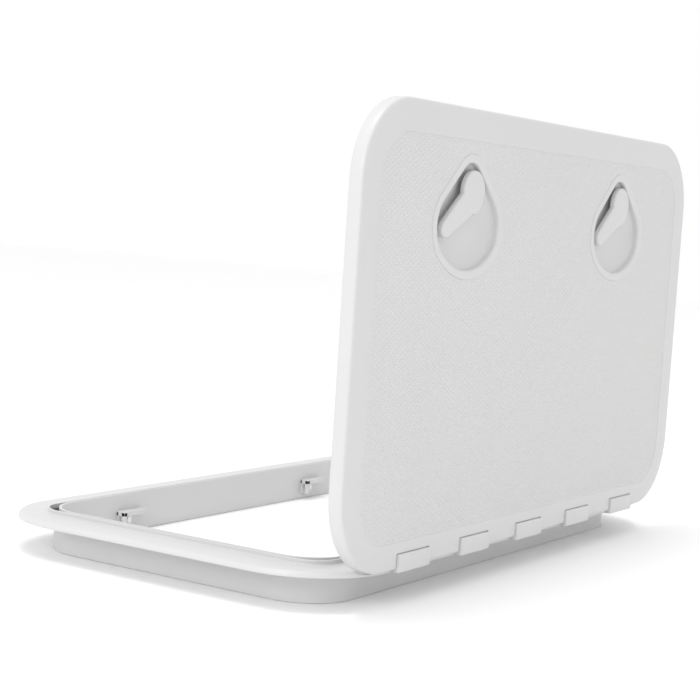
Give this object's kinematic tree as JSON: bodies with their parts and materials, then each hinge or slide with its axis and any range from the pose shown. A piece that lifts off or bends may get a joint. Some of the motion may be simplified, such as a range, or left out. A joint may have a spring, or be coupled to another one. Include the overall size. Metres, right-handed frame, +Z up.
{
  "type": "deck hatch",
  "caption": "White moulded deck hatch with a flanged frame, a hinged anti-slip lid standing open and two turn latches in teardrop dishes.",
  "frame": {"origin": "centre of the deck cut-out, on the underside of the flange", "axes": "+X along the hinge, +Y towards the hinge side, +Z up out of the deck"},
  "size_m": [0.606, 0.3553, 0.3813],
  "materials": {
    "white_moulding": "satin",
    "black_rubber": "matt",
    "stainless_steel": "brushed"
  },
  "bodies": {
    "frame_body": {"frame": "white_moulding", "frame_seal": "black_rubber", "hinge_block_1": "white_moulding", "hinge_block_2": "white_moulding", "hinge_block_3": "white_moulding", "hinge_block_4": "white_moulding", "hinge_block_5": "white_moulding", "hinge_pin_1": "stainless_steel", "hinge_pin_2": "stainless_steel", "hinge_pin_3": "stainless_steel", "hinge_pin_4": "stainless_steel", "hinge_pin_5": "stainless_steel", "hinge_screws": "stainless_steel", "keeper_left": "white_moulding", "keeper_right": "white_moulding", "keeper_screws": "stainless_steel"},
    "lid_body": {"lid": "white_moulding", "lid_liner": "white_moulding", "liner_screws": "stainless_steel", "latch_cup_left": "white_moulding", "latch_cup_right": "white_moulding", "latch_o_ring_left": "black_rubber", "latch_o_ring_right": "black_rubber"},
    "latch_left_body": {"latch_lever_left": "white_moulding", "latch_washer_left": "stainless_steel", "latch_cam_left": "white_moulding", "latch_screw_left": "stainless_steel"},
    "latch_right_body": {"latch_lever_right": "white_moulding", "latch_washer_right": "stainless_steel", "latch_cam_right": "white_moulding", "latch_screw_right": "stainless_steel"}
  },
  "joints": [
    {"name": "lid_hinge", "type": "hinge", "parent": "frame_body", "child": "lid_body", "pos_m": [0, 0.1703, 0.0085], "axis": [1, 0, 0], "range_deg": [0, 90]},
    {"name": "latch_left_turn", "type": "hinge", "parent": "lid_body", "child": "latch_left_body", "pos_m": [-0.1485, 0.1618, 0.2912], "axis": [0, 1, 0], "range_deg": [0, 90]},
    {"name": "latch_right_turn", "type": "hinge", "parent": "lid_body", "child": "latch_right_body", "pos_m": [0.1365, 0.1618, 0.2912], "axis": [0, 1, 0], "range_deg": [0, 90]}
  ]
}
